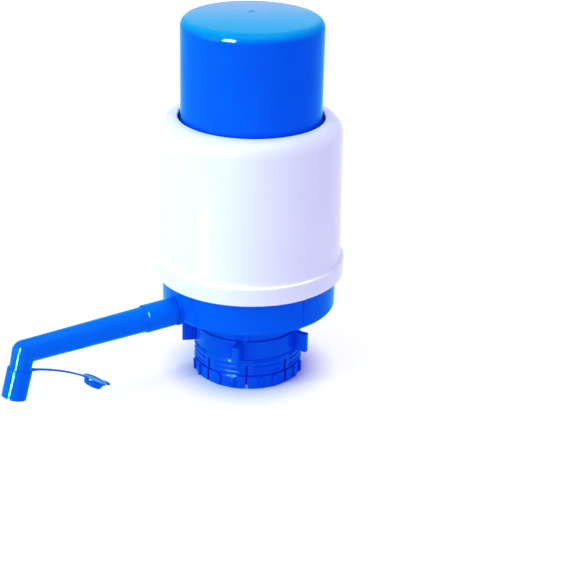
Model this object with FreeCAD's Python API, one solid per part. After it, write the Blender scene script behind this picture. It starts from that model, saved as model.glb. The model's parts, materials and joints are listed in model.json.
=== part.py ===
import FreeCAD, Part
import math
import os

from FreeCAD import Placement, Rotation, Vector

# Manual press pump for a water bottle, in millimetres.
# The pump axis is Z. The origin is on that axis at the foot of the collet, where the
# bottle neck enters, and the spout points along -X.

# clearances
slip = 0.3                     # between pieces that turn or slide past each other
seat_gap = 0.05                # between a valve or stop and the face it rests on
push_fit = 0.1                 # between pieces that are pushed together once

# bottle neck and collet
neck_bore_radius = 27.7
collet_shoulder = 2.4          # outside beyond its sleeve in the lock ring
collet_outer_height = 17.5
collet_web = 2.0
collet_sleeve_wall = 1.7
foot_band_depth = 0.5
foot_band_height = 7.4
foot_groove_depth = 0.6
foot_groove_height = 0.8
finger_count = 8
finger_slot = 1.4
finger_slot_height = 14.4
first_slot_angle = -125.3
foot_rib_width = 1.7
foot_rib_depth = 1.1
foot_rib_spread = 15.0         # angle between the two ribs of one finger
ridge_count = 3                # grip ridges above the foot band of each finger
ridge_pitch = 3.1
ridge_width = 1.5
ridge_depth = 0.6
ridge_span = 30.0              # degrees of a ridge round the finger

# lock ring
ring_wall = 2.1
ring_height = 10.8
ring_lip = 1.6
wing_count = 5
wing_length = 7.6
wing_width = 3.4
wing_rib_count = 4             # on the face of a wing that is pushed to tighten
wing_rib_pitch = 1.7
wing_rib_radius = 0.5
first_wing_angle = -135.0
ring_nib_radius = 0.9          # left by the mould's gate
ring_nib_angle = -158.8

# neck of the base
neck_tube_radius = 25.6
neck_tube_wall = 2.4
neck_skirt_step = 3.4          # how far the skirt stands outside the neck tube
neck_skirt_height = 12.8
neck_skirt_wall = 2.4
neck_bead = 1.0
neck_bead_height = 1.1
neck_joint_wall = 1.3          # top rim of the neck tube, inside the drum's floor
index_rib_angle = -127.2
index_rib_width = 2.8
index_rib_depth = 0.8
index_rib_height = 4.0
key_width = 3.0
gasket_height = 2.5
gasket_width = 2.6
gasket_lip_height = 1.9
gasket_lip_wall = 1.4

# base drum
drum_radius = 48.4
drum_wall = 2.4
drum_height = 19.3             # from the drum's underside to the housing rim
drum_edge = 1.6
drum_collar = 5.0              # how far the drum reaches up inside the rim
drum_lip = 0.5
drum_lip_height = 1.8
drum_lip_drop = 0.6
seam_angle = -86.2             # mould parting line on the drum
seam_width = 0.5
seam_depth = 0.2
drum_nib_radius = 0.8
drum_nib_angle = -84.1
drum_nib_height = 14.0         # above the drum's underside
snap_bead = 1.8
snap_bead_height = 2.0
floor_depth = 3.0              # from the housing rim down to the underside of the floor
floor_thickness = 2.4
ledge_width = 2.4
post_radius = 4.0
post_count = 4
screw_radius = 1.5
screw_head_radius = 2.8
screw_head_height = 1.9
screw_length = 14.0

# housing
rim_radius = 52.5
rim_height = 10.0
rim_edge = 0.8
housing_radius = 50.6          # just above the rim
housing_draft = 1.0            # how much narrower it is at the shoulder
housing_height = 89.3
housing_wall = 2.4
housing_shoulder = 8.8
mouth_radius = 39.5

# press cap
cap_radius = 38.1
cap_proud = 53.1               # above the housing
cap_edge = 4.8
cap_wall = 2.3
cap_stroke = 45.0
cap_run_out = 1.0              # left under the skirt at the end of the stroke
cap_boss_radius = 9.0
cap_boss_height = 5.8
gate_radius = 1.9
gate_depth = 0.5
gate_circle = 10.9
gate_angle = 58.5
stop_washer_height = 1.4
stop_washer_width = 1.9

# bellows, plate and spring
bellows_folds = 10
bellows_peak = 32.5
bellows_valley = 26.0
bellows_skin = 1.5
bellows_top = 1.2
bellows_foot = 1.6
bellows_foot_radius = 37.0
clamp_ring_wall = 2.0
clamp_ring_grip = 3.0
clamp_ring_margin = 0.4        # around the screw heads
plate_thickness = 2.4
spring_radius = 10.0
spring_wire = 0.9
spring_turns = 9
spring_collar_height = 4.0
spring_collar_wall = 2.6
hub_screw_length = 7.0

# valves
valve_disc_radius = 5.6
valve_disc_height = 1.0
valve_stem_radius = 1.3
valve_barb_radius = 2.2
valve_barb_height = 1.8
valve_lift = 1.0
valve_circle = 18.5
port_radius = 1.0
port_count = 4

# water way
nipple_radius = 4.75
nipple_length = 12.0
nipple_rise = 0.5              # nipple end above the top of the bottle neck bore
water_pipe_radius = 5.5
water_bore_radius = 3.2
spider_arms = 4
spider_width = 2.0
spider_height = 3.0

# spout
arm_height = 4.6               # arm axis above the drum's underside
spigot_radius = 5.6
spigot_length = 18.0           # beyond the drum
spigot_shoulder_radius = 6.3
spigot_shoulder_length = 2.2
spigot_pad_radius = 8.2
spigot_pad_depth = 0.6
spigot_bead = 0.45
spigot_bead_length = 1.5
oring_wire = 0.9
oring_setback = 7.5            # from the spigot's end
socket_radius = 7.7
socket_length = 17.5
arm_root_radius = 7.0
arm_tip_radius = 6.2
arm_bore_radius = 4.8
arm_reach = 139.4              # from the pump axis to the elbow
nozzle_fall = 74.1             # degrees below horizontal
nozzle_length = 21.6
nozzle_radius = 5.7
sleeve_radius = 6.6
sleeve_grip = 12.0             # how far the sleeve reaches up the nozzle
sleeve_overhang = 3.8
sleeve_lip = 0.6               # wall of the sleeve round the plug

# plug and strap
plug_depth = 3.1
plug_taper = 1.1               # how much narrower the plug is at its tip
plug_edge = 0.6
plug_flange = 1.0
plug_tab_reach = 10.1          # from the centre of the plug to the tip of its tab
plug_tab_width = 5.0
plug_swing = 165.3             # degrees from open to closed
plug_open_reach = 99.2         # open plug centre from the pump axis
plug_open_height = 17.9
strap_width = 4.0
strap_thickness = 0.8
strap_bulge = 1.4              # how far the strap bows above a straight line

# levels that follow from the sizes above
web_bottom = collet_outer_height - collet_web
ring_bottom = collet_outer_height + slip
ring_top = ring_bottom + ring_height
ring_lip_bottom = ring_top - ring_lip
bead_top = ring_lip_bottom - slip
bead_bottom = bead_top - neck_bead_height
sleeve_top = bead_bottom - slip
neck_shoulder = ring_top + slip
drum_bottom = neck_shoulder + neck_skirt_height
gasket_bottom = web_bottom + push_fit
neck_tube_end = gasket_bottom + gasket_height
rim_bottom = drum_bottom + drum_height
rim_top = rim_bottom + rim_height
drum_top = rim_bottom + drum_collar
floor_bottom = rim_bottom - floor_depth
floor_top = floor_bottom + floor_thickness
clamp_top = floor_top + bellows_foot + clamp_ring_wall
skirt_bottom = clamp_top + screw_head_height + cap_run_out + cap_stroke
housing_top = rim_bottom + housing_height
ceiling = housing_top - housing_wall
shoulder_radius = housing_radius - housing_draft
guide_radius = shoulder_radius - housing_wall - slip
washer_inner = mouth_radius + slip
washer_outer = washer_inner + stop_washer_width
shoulder_inside = shoulder_radius - housing_wall - washer_outer
cap_flange_top = ceiling - stop_washer_height - seat_gap
cap_top = housing_top + cap_proud
cap_ceiling = cap_top - cap_wall
boss_end = cap_ceiling - cap_boss_height
plate_top = boss_end - bellows_top
plate_bottom = plate_top - plate_thickness
arm_level = drum_bottom + arm_height
spigot_end = drum_radius + spigot_length
pipe_hole = spigot_shoulder_radius + push_fit
bush_radius = pipe_hole + drum_wall / 2
pad_start = drum_radius - drum_wall / 2
spigot_shoulder_end = drum_radius + spigot_shoulder_length
sleeve_inner = neck_tube_radius + slip
sleeve_outer = sleeve_inner + collet_sleeve_wall
ring_inner = sleeve_outer + slip
ring_radius = ring_inner + ring_wall
wing_reach = ring_radius + wing_length
collet_radius = sleeve_outer + collet_shoulder
foot_band_radius = collet_radius + foot_band_depth
neck_skirt_radius = neck_tube_radius + neck_skirt_step
post_circle = drum_radius - drum_wall - ledge_width - post_radius - slip
skirt_inner = neck_skirt_radius - neck_skirt_wall
tube_inner = neck_tube_radius - neck_tube_wall
joint_radius = skirt_inner + neck_joint_wall
drum_inner = drum_radius - drum_wall
bead_radius = drum_radius + snap_bead
socket_bore = spigot_radius + slip
mouth_bore = sleeve_radius - sleeve_lip
plug_radius = mouth_bore - push_fit
sleeve_start = nozzle_length - sleeve_grip

# the nozzle leaves the elbow in this direction, and the plug closes its mouth
fall = math.radians(nozzle_fall)
elbow = Vector(-arm_reach, 0, arm_level)
nozzle_way = Vector(-math.cos(fall), 0, -math.sin(fall))
nozzle_mouth = elbow + nozzle_way * (nozzle_length + sleeve_overhang)


def rounded_face(corners):
    """Closed face in the XZ plane through (radius, height, fillet) corners.

    Two fillets that are too large for the edge between them share it by their sizes.
    """
    points = [Vector(corner[0], 0, corner[1]) for corner in corners]
    fillets = [corner[2] if len(corner) > 2 else 0 for corner in corners]
    edges = []
    starts, ends = [], []
    for index, fillet in enumerate(fillets):
        here = points[index]
        if fillet <= 0:
            starts.append(here)
            ends.append(here)
            continue
        following = (index + 1) % len(points)
        back = points[index - 1] - here
        ahead = points[following] - here
        half_angle = back.getAngle(ahead) / 2
        back_share = 0.98 * fillet / (fillet + max(fillets[index - 1], 0))
        ahead_share = 0.98 * fillet / (fillet + max(fillets[following], 0))
        reach = min(fillet / math.tan(half_angle), back_share * back.Length,
                    ahead_share * ahead.Length)
        back.normalize()
        ahead.normalize()
        starts.append(here + back * reach)
        ends.append(here + ahead * reach)
        middle = back + ahead
        middle.normalize()
        radius = reach * math.tan(half_angle)
        centre = here + middle * (radius / math.sin(half_angle))
        edges.append((index, Part.Arc(starts[-1], centre - middle * radius, ends[-1]).toShape()))
    arcs = dict(edges)
    outline = []
    for index in range(len(points)):
        if index in arcs:
            outline.append(arcs[index])
        following = (index + 1) % len(points)
        if (ends[index] - starts[following]).Length > 1e-6:
            outline.append(Part.LineSegment(ends[index], starts[following]).toShape())
    return Part.Face(Part.Wire(outline))


def turned(corners):
    """Solid of revolution about Z."""
    return rounded_face(corners).revolve(Vector(0, 0, 0), Vector(0, 0, 1), 360)


def rod(radius, bottom, top, x=0.0, y=0.0):
    return Part.makeCylinder(radius, top - bottom, Vector(x, y, bottom))


def tube(outer, inner, bottom, top):
    return rod(outer, bottom, top).cut(rod(inner, bottom - 1, top + 1))


def block(inner, outer, width, bottom, top, angle):
    """Radial block from one radius to another, centred on an angle in degrees."""
    body = Part.makeBox(outer - inner, width, top - bottom, Vector(inner, -width / 2, bottom))
    body.rotate(Vector(0, 0, 0), Vector(0, 0, 1), angle)
    return body


def ball(radius, reach, height, angle):
    """Sphere at a radius and height, at an angle in degrees round the pump axis."""
    return spun(Part.makeSphere(radius, Vector(reach, 0, height)), angle)


def spun(shape, angle):
    copy = shape.copy()
    copy.rotate(Vector(0, 0, 0), Vector(0, 0, 1), angle)
    return copy


def around(shape, count, first=0.0):
    return [spun(shape, first + 360.0 * index / count) for index in range(count)]


def on_arm(shape):
    """Place a shape made about Z so that its Z runs outwards along the arm."""
    copy = shape.copy()
    copy.Placement = Placement(Vector(0, 0, arm_level), Rotation(Vector(0, 1, 0), -90))
    return copy


def on_nozzle(shape):
    """Place a shape made about Z so that its Z runs down the nozzle from the elbow."""
    copy = shape.copy()
    copy.Placement = Placement(elbow, Rotation(Vector(0, 0, 1), nozzle_way))
    return copy


def fused(first, others):
    return first.multiFuse(others).removeSplitter()


# ---- collar -------------------------------------------------------------------------

def make_collet():
    groove_bottom = foot_band_height
    groove_top = groove_bottom + foot_groove_height
    body = turned([
        (neck_bore_radius, 0, 0.4),
        (foot_band_radius, 0, 0.6),
        (foot_band_radius, groove_bottom, 0.3),
        (collet_radius - foot_groove_depth, groove_bottom),
        (collet_radius - foot_groove_depth, groove_top),
        (collet_radius, groove_top, 0.3),
        (collet_radius, collet_outer_height, 0.4),
        (sleeve_outer, collet_outer_height),
        (sleeve_outer, sleeve_top),
        (sleeve_inner, sleeve_top),
        (sleeve_inner, web_bottom),
        (neck_bore_radius, web_bottom),
    ])
    rib = block(foot_band_radius - 0.5, foot_band_radius + foot_rib_depth, foot_rib_width,
                0.8, foot_band_height - 0.4, 0)
    finger = 360.0 / finger_count
    ribs = []
    for side in (-0.5, 0.5):
        ribs += around(rib, finger_count, first_slot_angle + finger / 2 + side * foot_rib_spread)
    ridge = rounded_face([
        (collet_radius - 0.5, 0),
        (collet_radius + ridge_depth, 0.3, 0.2),
        (collet_radius + ridge_depth, ridge_width - 0.3, 0.2),
        (collet_radius - 0.5, ridge_width),
    ]).revolve(Vector(0, 0, 0), Vector(0, 0, 1), ridge_span)
    first_ridge = groove_top + (ridge_pitch - ridge_width) / 2
    for index in range(ridge_count):
        raised = ridge.translated(Vector(0, 0, first_ridge + index * ridge_pitch))
        middle = first_slot_angle + finger / 2 - ridge_span / 2
        ribs += around(raised, finger_count, middle)
    body = fused(body, ribs)
    slot = block(neck_bore_radius - 1, foot_band_radius + 3, finger_slot, -1,
                 finger_slot_height, 0)
    keyway = block(sleeve_inner - 1, sleeve_outer + 1, key_width + 2 * slip,
                   collet_outer_height, sleeve_top + 1, index_rib_angle)
    return body.cut(around(slot, finger_count, first_slot_angle) + [keyway])


def make_lock_ring():
    ring = turned([
        (ring_inner, ring_bottom),
        (ring_radius, ring_bottom, 0.4),
        (ring_radius, ring_top, 0.5),
        (neck_tube_radius + 2 * slip, ring_top),
        (neck_tube_radius + 2 * slip, ring_lip_bottom),
        (ring_inner, ring_lip_bottom),
    ])
    inner = (ring_inner + ring_radius) / 2
    wing = block(inner, wing_reach, wing_width, ring_bottom, ring_top, 0)
    corners = [edge for edge in wing.Edges
               if edge.BoundBox.ZLength > 1 and edge.BoundBox.XMin > ring_radius]
    wing = wing.makeFillet(0.6, corners)
    for index in range(wing_rib_count):
        x = wing_reach - (index + 1) * wing_rib_pitch
        rib = rod(wing_rib_radius, ring_bottom + 0.4, ring_top - 0.4, x, wing_width / 2)
        wing = wing.fuse(rib)
    nib = ball(ring_nib_radius, ring_radius - ring_nib_radius / 3,
               (ring_bottom + ring_top) / 2, ring_nib_angle)
    wings = around(wing.removeSplitter(), wing_count, first_wing_angle)
    return fused(ring, wings + [nib])


def make_neck_gasket():
    outer = neck_tube_radius - push_fit
    return tube(outer, outer - gasket_width, gasket_bottom, neck_tube_end)


# ---- base ---------------------------------------------------------------------------

def make_neck_tube():
    """Tube into the bottle collar, its skirt, and the rim that carries the drum."""
    gasket_inner = neck_tube_radius - push_fit - gasket_width
    lip_outer = gasket_inner - push_fit
    lip_inner = lip_outer - gasket_lip_wall
    web_top = neck_shoulder + neck_skirt_wall
    bead_outer = neck_tube_radius + neck_bead
    rim_of_neck = drum_bottom + drum_wall
    body = turned([
        (lip_inner, neck_tube_end - gasket_lip_height),
        (lip_outer, neck_tube_end - gasket_lip_height),
        (lip_outer, neck_tube_end),
        (neck_tube_radius, neck_tube_end),
        (neck_tube_radius, bead_bottom),
        (bead_outer, bead_bottom, 0.3),
        (bead_outer, bead_top, 0.3),
        (neck_tube_radius, bead_top),
        (neck_tube_radius, neck_shoulder),
        (neck_skirt_radius, neck_shoulder, 0.5),
        (neck_skirt_radius, drum_bottom),
        (joint_radius, drum_bottom),
        (joint_radius, rim_of_neck),
        (skirt_inner, rim_of_neck),
        (skirt_inner, web_top),
        (tube_inner, web_top),
        (tube_inner, neck_tube_end + gasket_lip_wall),
        (lip_inner, neck_tube_end + gasket_lip_wall),
    ])
    rib = block(neck_skirt_radius - 0.5, neck_skirt_radius + index_rib_depth, index_rib_width,
                neck_shoulder, neck_shoulder + index_rib_height, index_rib_angle)
    key = block(neck_tube_radius - 0.5, sleeve_outer - slip, key_width,
                collet_outer_height + 2 * slip, sleeve_top, index_rib_angle)
    body = fused(body, [rib, key])
    return body.cut(on_arm(rod(spigot_shoulder_radius + push_fit, 0, neck_skirt_radius + 1)))


def make_base():
    """Drum with its snap bead and a seat for the bush of the water pipe."""
    lip_top = rim_bottom - drum_lip_drop
    lip_bottom = lip_top - drum_lip_height
    snap_bottom = rim_bottom + drum_lip_height
    snap_top = snap_bottom + snap_bead_height
    floor_of_drum = drum_bottom + drum_wall
    body = turned([
        (joint_radius, drum_bottom),
        (drum_radius, drum_bottom, drum_edge),
        (drum_radius, lip_bottom),
        (drum_radius + drum_lip, lip_bottom, 0.2),
        (drum_radius + drum_lip, lip_top, 0.2),
        (drum_radius, lip_top),
        (drum_radius, snap_bottom),
        (bead_radius, snap_bottom, 0.4),
        (bead_radius, snap_top, 0.6),
        (drum_radius, snap_top),
        (drum_radius, drum_top),
        (drum_inner, drum_top),
        (drum_inner, floor_bottom),
        (drum_inner - ledge_width, floor_bottom),
        (drum_inner - ledge_width, floor_bottom - ledge_width),
        (drum_inner, floor_bottom - 2 * ledge_width),
        (drum_inner, floor_of_drum, 1.0),
        (joint_radius, floor_of_drum),
    ])
    seam = block(drum_radius - 0.5, drum_radius + seam_depth, seam_width,
                 drum_bottom + 2 * drum_edge, rim_bottom - 2 * drum_edge, seam_angle)
    nib = ball(drum_nib_radius, drum_radius - drum_nib_radius / 3,
               drum_bottom + drum_nib_height, drum_nib_angle)
    body = fused(body, [seam, nib])
    outside = drum_radius + spigot_pad_depth + 1
    return body.cut([
        on_arm(rod(pipe_hole, 0, outside)),
        on_arm(rod(bush_radius + push_fit, neck_skirt_radius, outside)),
        on_arm(rod(spigot_pad_radius + push_fit, pad_start - push_fit, outside)),
    ])


def make_pipe_bush():
    """Bush that carries the water pipe through the drum, with its pad outside."""
    return on_arm(turned([
        (pipe_hole, neck_skirt_radius + push_fit),
        (bush_radius, neck_skirt_radius + push_fit),
        (bush_radius, pad_start),
        (spigot_pad_radius, pad_start),
        (spigot_pad_radius, drum_radius + spigot_pad_depth, 0.5),
        (pipe_hole, drum_radius + spigot_pad_depth),
    ]))


def make_floor_posts():
    """Screw posts between the drum and the pump floor."""
    bottom = drum_bottom + drum_wall
    post = rod(post_radius, bottom, floor_bottom, post_circle)
    post = post.cut(rod(screw_radius, bottom - 1, floor_bottom + 1, post_circle))
    return Part.makeCompound(around(post, post_count, 180.0 / post_count))


def make_spout_oring():
    ring = Part.makeTorus(socket_bore - oring_wire - seat_gap, oring_wire,
                          Vector(0, 0, spigot_end - oring_setback))
    return on_arm(ring)


def make_water_elbow():
    """Nipple for the dip tube, riser, and the run that ends in the spout's spigot."""
    foot = web_bottom + nipple_rise
    spider_bottom = neck_shoulder + neck_skirt_wall
    groove_end = spigot_end - oring_setback + oring_wire + seat_gap
    groove_start = groove_end - 2 * (oring_wire + seat_gap)
    groove_radius = socket_bore - 2 * (oring_wire + seat_gap)
    bead_start = spigot_end - spigot_bead_length
    run = turned([
        (0, 0),
        (spigot_shoulder_radius, 0),
        (spigot_shoulder_radius, spigot_shoulder_end, 0.3),
        (spigot_radius, spigot_shoulder_end),
        (spigot_radius, groove_start),
        (groove_radius, groove_start),
        (groove_radius, groove_end),
        (spigot_radius, groove_end),
        (spigot_radius, bead_start),
        (spigot_radius + spigot_bead, bead_start),
        (spigot_radius + spigot_bead, spigot_end, 0.4),
        (0, spigot_end),
    ])
    pieces = [
        rod(water_pipe_radius, foot + nipple_length, arm_level),
        Part.makeSphere(spigot_shoulder_radius, Vector(0, 0, arm_level)),
        on_arm(run),
    ]
    arm = block(0, skirt_inner - push_fit, spider_width, spider_bottom,
                spider_bottom + spider_height, 0)
    pieces += around(arm, spider_arms, 180.0 / spider_arms)
    body = fused(rod(nipple_radius, foot, foot + nipple_length), pieces)
    riser = rod(water_bore_radius, foot - 1, arm_level)
    corner = Part.makeSphere(water_bore_radius, Vector(0, 0, arm_level))
    return body.cut([riser, corner, on_arm(rod(water_bore_radius, 0, spigot_end + 1))])


def valve_tools(bottom, top, x):
    """Stem hole and the ring of ports around it, through a plate."""
    tools = [rod(valve_stem_radius + push_fit, bottom - 1, top + 1, x)]
    port = rod(port_radius, bottom - 1, top + 1, valve_stem_radius + 2 * port_radius + 0.4)
    for shape in around(port, port_count, 45.0):
        shape.translate(Vector(x, 0, 0))
        tools.append(shape)
    return tools


def make_valve(plate_under, plate_over, x):
    """Rubber mushroom under a plate, with its barb above it."""
    disc_top = plate_under - seat_gap
    barb_bottom = plate_over + valve_lift + seat_gap
    disc = rod(valve_disc_radius, disc_top - valve_disc_height, disc_top, x)
    stem = rod(valve_stem_radius, disc_top - valve_disc_height, barb_bottom + 0.2, x)
    barb = Part.makeCone(valve_barb_radius, valve_stem_radius * 0.6, valve_barb_height,
                         Vector(x, 0, barb_bottom))
    return fused(disc, [stem, barb])


def make_pump_floor():
    collar_outer = spring_radius - spring_wire - push_fit
    disc = rod(drum_inner - push_fit, floor_bottom, floor_top)
    collar = tube(collar_outer, collar_outer - spring_collar_wall, floor_top,
                  floor_top + spring_collar_height)
    holes = around(rod(screw_radius + push_fit, floor_bottom - 1, floor_top + 1, post_circle),
                   post_count, 180.0 / post_count)
    holes += valve_tools(floor_bottom, floor_top, valve_circle)
    return disc.fuse(collar).cut(holes)


def make_clamp_ring():
    """Holds the foot of the bellows down on the floor."""
    foot_top = clamp_top - clamp_ring_wall
    outer = post_circle + screw_head_radius + clamp_ring_margin
    ring = turned([
        (bellows_foot_radius + push_fit, floor_top),
        (outer, floor_top),
        (outer, clamp_top, 0.6),
        (bellows_foot_radius - clamp_ring_grip, clamp_top, 0.6),
        (bellows_foot_radius - clamp_ring_grip, foot_top),
        (bellows_foot_radius + push_fit, foot_top),
    ])
    hole = rod(screw_radius + push_fit, floor_top - 1, clamp_top + 1, post_circle)
    return ring.cut(around(hole, post_count, 180.0 / post_count))


def make_screw(x, seat, length, up):
    """Round-headed screw with its head on a seat; up is +1 when the head is on top."""
    low, high = sorted((seat, seat - up * length))
    shank = rod(screw_radius - push_fit, low, high, x)
    low, high = sorted((seat, seat + up * screw_head_height))
    head = rod(screw_head_radius, low, high, x)
    rim = [edge for edge in head.Edges if abs(edge.BoundBox.ZMax - edge.BoundBox.ZMin) < 1e-6
           and abs(edge.BoundBox.ZMin - (seat + up * screw_head_height)) < 1e-6]
    head = head.makeFillet(screw_head_height * 0.4, rim)
    socket = rod(screw_head_radius * 0.35, seat + up * screw_head_height - 0.6,
                 seat + up * screw_head_height + 0.6, x)
    return head.fuse(shank).removeSplitter().cut(socket)


def make_floor_screws():
    screw = make_screw(post_circle, clamp_top, screw_length, 1)
    return Part.makeCompound(around(screw, post_count, 180.0 / post_count))


# ---- pump head ----------------------------------------------------------------------

def make_housing():
    lip_radius = drum_radius + drum_lip + slip
    rim_inner = bead_radius + push_fit
    lip_top = rim_bottom + drum_lip_height - push_fit
    seat = drum_top + push_fit
    return turned([
        (lip_radius, rim_bottom, 0.3),
        (rim_radius, rim_bottom, rim_edge),
        (rim_radius, rim_top, rim_edge),
        (housing_radius, rim_top),
        (shoulder_radius, housing_top, housing_shoulder),
        (mouth_radius, housing_top, 0.9),
        (mouth_radius, ceiling, 0.6),
        (shoulder_radius - housing_wall, ceiling, shoulder_inside),
        (housing_radius - housing_wall, seat),
        (rim_inner, seat),
        (rim_inner, lip_top),
        (lip_radius, lip_top, 0.3),
    ])


def make_stop_washer():
    return tube(washer_outer, washer_inner, cap_flange_top,
                cap_flange_top + stop_washer_height)


def make_press_cap():
    """Cup with a flange that guides it in the housing and stops it at the top."""
    flange_edge = shoulder_inside - 2 * slip
    inner = cap_radius - cap_wall
    cup = turned([
        (0, cap_ceiling),
        (inner, cap_ceiling, cap_edge - cap_wall),
        (inner, cap_flange_top - cap_wall),
        (guide_radius - cap_wall, cap_flange_top - cap_wall, flange_edge - cap_wall),
        (guide_radius - cap_wall, skirt_bottom),
        (guide_radius, skirt_bottom, 0.5),
        (guide_radius, cap_flange_top, flange_edge),
        (cap_radius, cap_flange_top, washer_inner - cap_radius - push_fit),
        (cap_radius, cap_top, cap_edge),
        (0, cap_top),
    ])
    boss = rod(cap_boss_radius, boss_end, cap_ceiling + cap_wall / 2)
    pilot = rod(screw_radius, boss_end - 1, boss_end + hub_screw_length - bellows_top)
    angle = math.radians(gate_angle)
    gate = rod(gate_radius, cap_top - gate_depth, cap_top + 1,
               gate_circle * math.cos(angle), gate_circle * math.sin(angle))
    return cup.fuse(boss).cut([pilot, gate]).removeSplitter()


def make_bellows():
    fold = (plate_top - floor_top - bellows_foot) / bellows_folds
    start = floor_top + bellows_foot
    inner_valley = bellows_valley - bellows_skin
    inner_peak = bellows_peak - bellows_skin
    outside = [(bellows_foot_radius, floor_top), (bellows_foot_radius, start),
               (bellows_valley, start)]
    inside = []
    for index in range(bellows_folds):
        low = start + index * fold
        outside.append((bellows_peak, low + fold / 2))
        inside.append((inner_peak, low + fold / 2))
        if index < bellows_folds - 1:
            outside.append((bellows_valley, low + fold))
            inside.append((inner_valley, low + fold))
    top = [(bellows_valley, plate_top), (bellows_valley, boss_end),
           (screw_radius + push_fit, boss_end), (screw_radius + push_fit, plate_top),
           (inner_valley, plate_top)]
    foot = [(inner_valley, start), (inner_valley, floor_top)]
    body = turned(outside + top + inside[::-1] + foot)
    return body.cut(valve_tools(plate_top, boss_end, valve_circle))


def make_bellows_plate():
    collar_outer = spring_radius - spring_wire - push_fit
    plate = rod(bellows_valley - bellows_skin - slip, plate_bottom, plate_top)
    collar = tube(collar_outer, collar_outer - spring_collar_wall,
                  plate_bottom - spring_collar_height, plate_bottom)
    holes = [rod(screw_radius + push_fit, plate_bottom - 1, plate_top + 1)]
    holes += valve_tools(plate_bottom, plate_top, valve_circle)
    return plate.fuse(collar).cut(holes)


def make_return_spring():
    length = plate_bottom - floor_top - 2 * spring_wire
    helix = Part.makeHelix(length / spring_turns, length, spring_radius)
    section = Part.Wire(Part.makeCircle(spring_wire, Vector(spring_radius, 0, 0),
                                        Vector(0, 1, 0)))
    coil = Part.Wire(helix).makePipeShell([section], True, True)
    coil.translate(Vector(0, 0, floor_top + spring_wire))
    return coil


# ---- spout --------------------------------------------------------------------------

def make_spout_arm():
    socket_start = spigot_shoulder_end + slip
    socket_end = socket_start + socket_length
    bead_start = spigot_end - spigot_bead_length - slip
    bead_end = spigot_end + slip
    run = turned([
        (0, socket_start),
        (socket_radius, socket_start, 0.6),
        (socket_radius, socket_end, 0.7),
        (arm_root_radius, socket_end),
        (arm_tip_radius, arm_reach),
        (0, arm_reach),
    ])
    socket = turned([
        (0, socket_start - 1),
        (socket_bore, socket_start - 1),
        (socket_bore, bead_start),
        (spigot_radius + spigot_bead + push_fit, bead_start),
        (spigot_radius + spigot_bead + push_fit, bead_end),
        (arm_bore_radius, bead_end),
        (arm_bore_radius, arm_reach),
        (0, arm_reach),
    ])
    nozzle = Part.makeCone(arm_tip_radius, nozzle_radius, sleeve_start)
    tip = rod(nozzle_radius, sleeve_start, nozzle_length)
    outside = fused(on_arm(run), [Part.makeSphere(arm_tip_radius, elbow),
                                  on_nozzle(nozzle.fuse(tip))])
    inside = [on_arm(socket), Part.makeSphere(arm_bore_radius, elbow),
              on_nozzle(rod(arm_bore_radius, 0, nozzle_length + 1))]
    return outside.cut(inside)


def make_nozzle_sleeve():
    """Soft sleeve on the tip of the nozzle; its lip takes the plug."""
    end = nozzle_length + sleeve_overhang
    sleeve = turned([
        (nozzle_radius, sleeve_start),
        (sleeve_radius, sleeve_start, 0.4),
        (sleeve_radius, end, 0.25),
        (mouth_bore, end, 0.2),
        (mouth_bore, nozzle_length),
        (nozzle_radius, nozzle_length),
    ])
    return on_nozzle(sleeve)


def plug_pole():
    """Point that the plug swings about, so that it lands square on the mouth."""
    half = math.radians(plug_swing) / 2
    opened = Vector(-plug_open_reach, 0, plug_open_height)
    chord = nozzle_mouth - opened
    across = chord.cross(Vector(0, 1, 0)) * -1
    return opened + chord * 0.5 + across * (0.5 / math.tan(half))


def opened_plug(shape):
    """Turn a shape made on the closed mouth back to where the plug hangs open."""
    copy = on_nozzle(shape)
    copy.rotate(plug_pole(), Vector(0, 1, 0), -plug_swing)
    return copy


def make_spout_plug():
    face = nozzle_length + sleeve_overhang
    plug = turned([
        (0, face - plug_depth),
        (plug_radius - plug_taper, face - plug_depth, plug_edge),
        (plug_radius, face),
        (plug_radius, face + plug_flange / 2),
        (0, face + plug_flange / 2),
    ])
    disc = turned([
        (0, face + seat_gap),
        (sleeve_radius, face + seat_gap, 0.2),
        (sleeve_radius, face + plug_flange, 0.4),
        (0, face + plug_flange),
    ])
    tab = Part.makeBox(plug_tab_reach, plug_tab_width, plug_flange - seat_gap,
                       Vector(0, -plug_tab_width / 2, face + seat_gap))
    corners = [edge for edge in tab.Edges
               if edge.BoundBox.ZLength > plug_flange / 2 and edge.BoundBox.XMin > 1]
    tab = tab.makeFillet(plug_tab_width * 0.4, corners)
    return opened_plug(fused(plug, [disc, tab]))


def strap_line():
    """Middle line of the strap: where it leaves the sleeve, its bow, the open plug."""
    face = nozzle_length + sleeve_overhang + plug_flange / 2
    level = Placement(elbow, Rotation(Vector(0, 0, 1), nozzle_way))
    root = level.multVec(Vector(-sleeve_radius, 0, sleeve_start + strap_thickness / 2))
    closed_tail = level.multVec(Vector(-sleeve_radius, 0, face))
    turn = Rotation(Vector(0, 1, 0), -plug_swing)
    tail = plug_pole() + turn.multVec(closed_tail - plug_pole())
    span = tail - root
    across = span.cross(Vector(0, 1, 0))
    across.normalize()
    return root, root + span * 0.5 + across * strap_bulge, tail


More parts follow.
